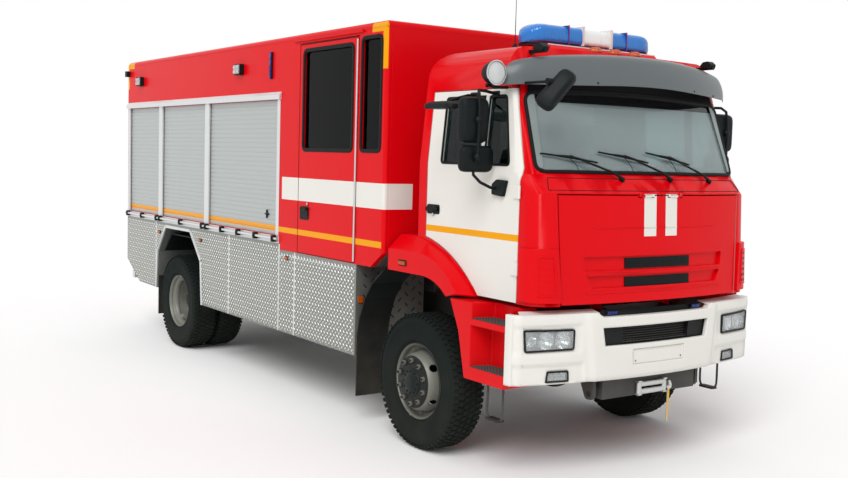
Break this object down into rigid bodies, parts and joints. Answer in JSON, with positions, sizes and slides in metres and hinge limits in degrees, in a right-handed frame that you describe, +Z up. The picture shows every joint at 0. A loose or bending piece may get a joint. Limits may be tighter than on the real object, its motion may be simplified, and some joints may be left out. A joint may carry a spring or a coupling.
{
  "type": "fire and rescue truck",
  "caption": "Fire and rescue truck with a tilting cab, crew cabin, roller-shutter equipment body, winch and twin rear wheels; wheels, steering and doors move.",
  "frame": {"origin": "on the ground under the middle of the truck's length and width", "axes": "+X forward, +Y to the truck's left, +Z up"},
  "size_m": [7.895, 2.83, 3.465],
  "materials": {
    "red_paint": "gloss red coat",
    "white_paint": "gloss white coat",
    "chassis_paint": "satin black coat",
    "cast_housing": "rough casting",
    "checker_plate": "embossed plate",
    "shutter_slat": "anodised satin",
    "rim_steel": "silver coat",
    "tyre_rubber": "matte",
    "black_plastic": "grained",
    "grey_plastic": "satin",
    "window_glass": "tinted",
    "lamp_lens": "clear lens",
    "amber_lens": "amber lens",
    "blue_lens": "blue lens",
    "seat_fabric": "woven",
    "floor_plate": "grey coat"
  },
  "bodies": {
    "chassis": {"frame": "chassis_paint", "front_axle": "chassis_paint", "rear_axle": "chassis_paint", "powertrain": "cast_housing", "front_bumper": "white_paint", "headlamps": "lamp_lens", "winch": "chassis_paint", "step_panels": "red_paint", "stirrup_steps": "chassis_paint", "mudguards": "black_plastic", "body_floor": "floor_plate", "body_side_right": "red_paint", "body_side_left": "red_paint", "body_roof": "red_paint", "body_end_walls": "red_paint", "shutters": "shutter_slat", "lift_bars": "shutter_slat", "skirts": "checker_plate", "crew_windows": "window_glass", "crew_seats": "seat_fabric", "rear_step_bar": "checker_plate", "body_lamps": "amber_lens"},
    "cab": {"cab_shell": "red_paint", "windscreen": "window_glass", "visor": "grey_plastic", "light_bar": "blue_lens", "roof_lamps": "amber_lens", "wipers": "black_plastic", "front_mirror": "black_plastic", "cab_fenders": "red_paint", "cab_seats": "seat_fabric", "dashboard": "black_plastic"},
    "front_panel": {"front_panel": "red_paint"},
    "cab_door_right": {"cab_door_right": "white_paint", "cab_door_glass_right": "window_glass", "mirrors_right": "black_plastic"},
    "crew_door_right": {"crew_door_right": "red_paint", "crew_door_glass_right": "window_glass"},
    "knuckle_right": {"knuckle_right": "cast_housing"},
    "front_wheel_right": {"front_tyre_right": "tyre_rubber", "front_rim_right": "rim_steel"},
    "rear_wheels_right": {"rear_tyres_right": "tyre_rubber", "rear_rims_right": "rim_steel"},
    "cab_door_left": {"cab_door_left": "white_paint", "cab_door_glass_left": "window_glass", "mirrors_left": "black_plastic"},
    "crew_door_left": {"crew_door_left": "red_paint", "crew_door_glass_left": "window_glass"},
    "knuckle_left": {"knuckle_left": "cast_housing"},
    "front_wheel_left": {"front_tyre_left": "tyre_rubber", "front_rim_left": "rim_steel"},
    "rear_wheels_left": {"rear_tyres_left": "tyre_rubber", "rear_rims_left": "rim_steel"}
  },
  "joints": [
    {"name": "cab_tilt", "type": "hinge", "parent": "chassis", "child": "cab", "pos_m": [3.8025, 0, 1], "axis": [0, 1, 0], "range_deg": [0, 42]},
    {"name": "front_panel_lift", "type": "hinge", "parent": "cab", "child": "front_panel", "pos_m": [3.90454, 0, 2.01], "axis": [0, -1, 0], "range_deg": [0, 70]},
    {"name": "cab_door_right_hinge", "type": "hinge", "parent": "cab", "child": "cab_door_right", "pos_m": [3.6355, -1.1113, 1.9], "axis": [0, 0, 1], "range_deg": [0, 70]},
    {"name": "crew_door_right_hinge", "type": "hinge", "parent": "chassis", "child": "crew_door_right", "pos_m": [1.7165, -1.258, 2.2], "axis": [0, 0, 1], "range_deg": [0, 90]},
    {"name": "steer_right", "type": "hinge", "parent": "chassis", "child": "knuckle_right", "pos_m": [2.6025, -0.88, 0.525], "axis": [0, 0, 1], "range_deg": [-30, 30]},
    {"name": "front_wheel_right_spin", "type": "hinge", "parent": "knuckle_right", "child": "front_wheel_right", "pos_m": [2.6025, -1.075, 0.525], "axis": [0, 1, 0], "continuous": true},
    {"name": "rear_wheels_right_spin", "type": "hinge", "parent": "chassis", "child": "rear_wheels_right", "pos_m": [-2.1975, -1.09, 0.525], "axis": [0, 1, 0], "continuous": true},
    {"name": "cab_door_left_hinge", "type": "hinge", "parent": "cab", "child": "cab_door_left", "pos_m": [3.6355, 1.1113, 1.9], "axis": [0, 0, -1], "range_deg": [0, 70]},
    {"name": "crew_door_left_hinge", "type": "hinge", "parent": "chassis", "child": "crew_door_left", "pos_m": [1.7165, 1.258, 2.2], "axis": [0, 0, -1], "range_deg": [0, 90]},
    {"name": "steer_left", "type": "hinge", "parent": "chassis", "child": "knuckle_left", "pos_m": [2.6025, 0.88, 0.525], "axis": [0, 0, 1], "range_deg": [-30, 30]},
    {"name": "front_wheel_left_spin", "type": "hinge", "parent": "knuckle_left", "child": "front_wheel_left", "pos_m": [2.6025, 1.075, 0.525], "axis": [0, 1, 0], "continuous": true},
    {"name": "rear_wheels_left_spin", "type": "hinge", "parent": "chassis", "child": "rear_wheels_left", "pos_m": [-2.1975, 1.09, 0.525], "axis": [0, 1, 0], "continuous": true}
  ],
  "couplings": [
    {"joint": "steer_right", "follows": "steer_left", "ratio": 1}
  ]
}
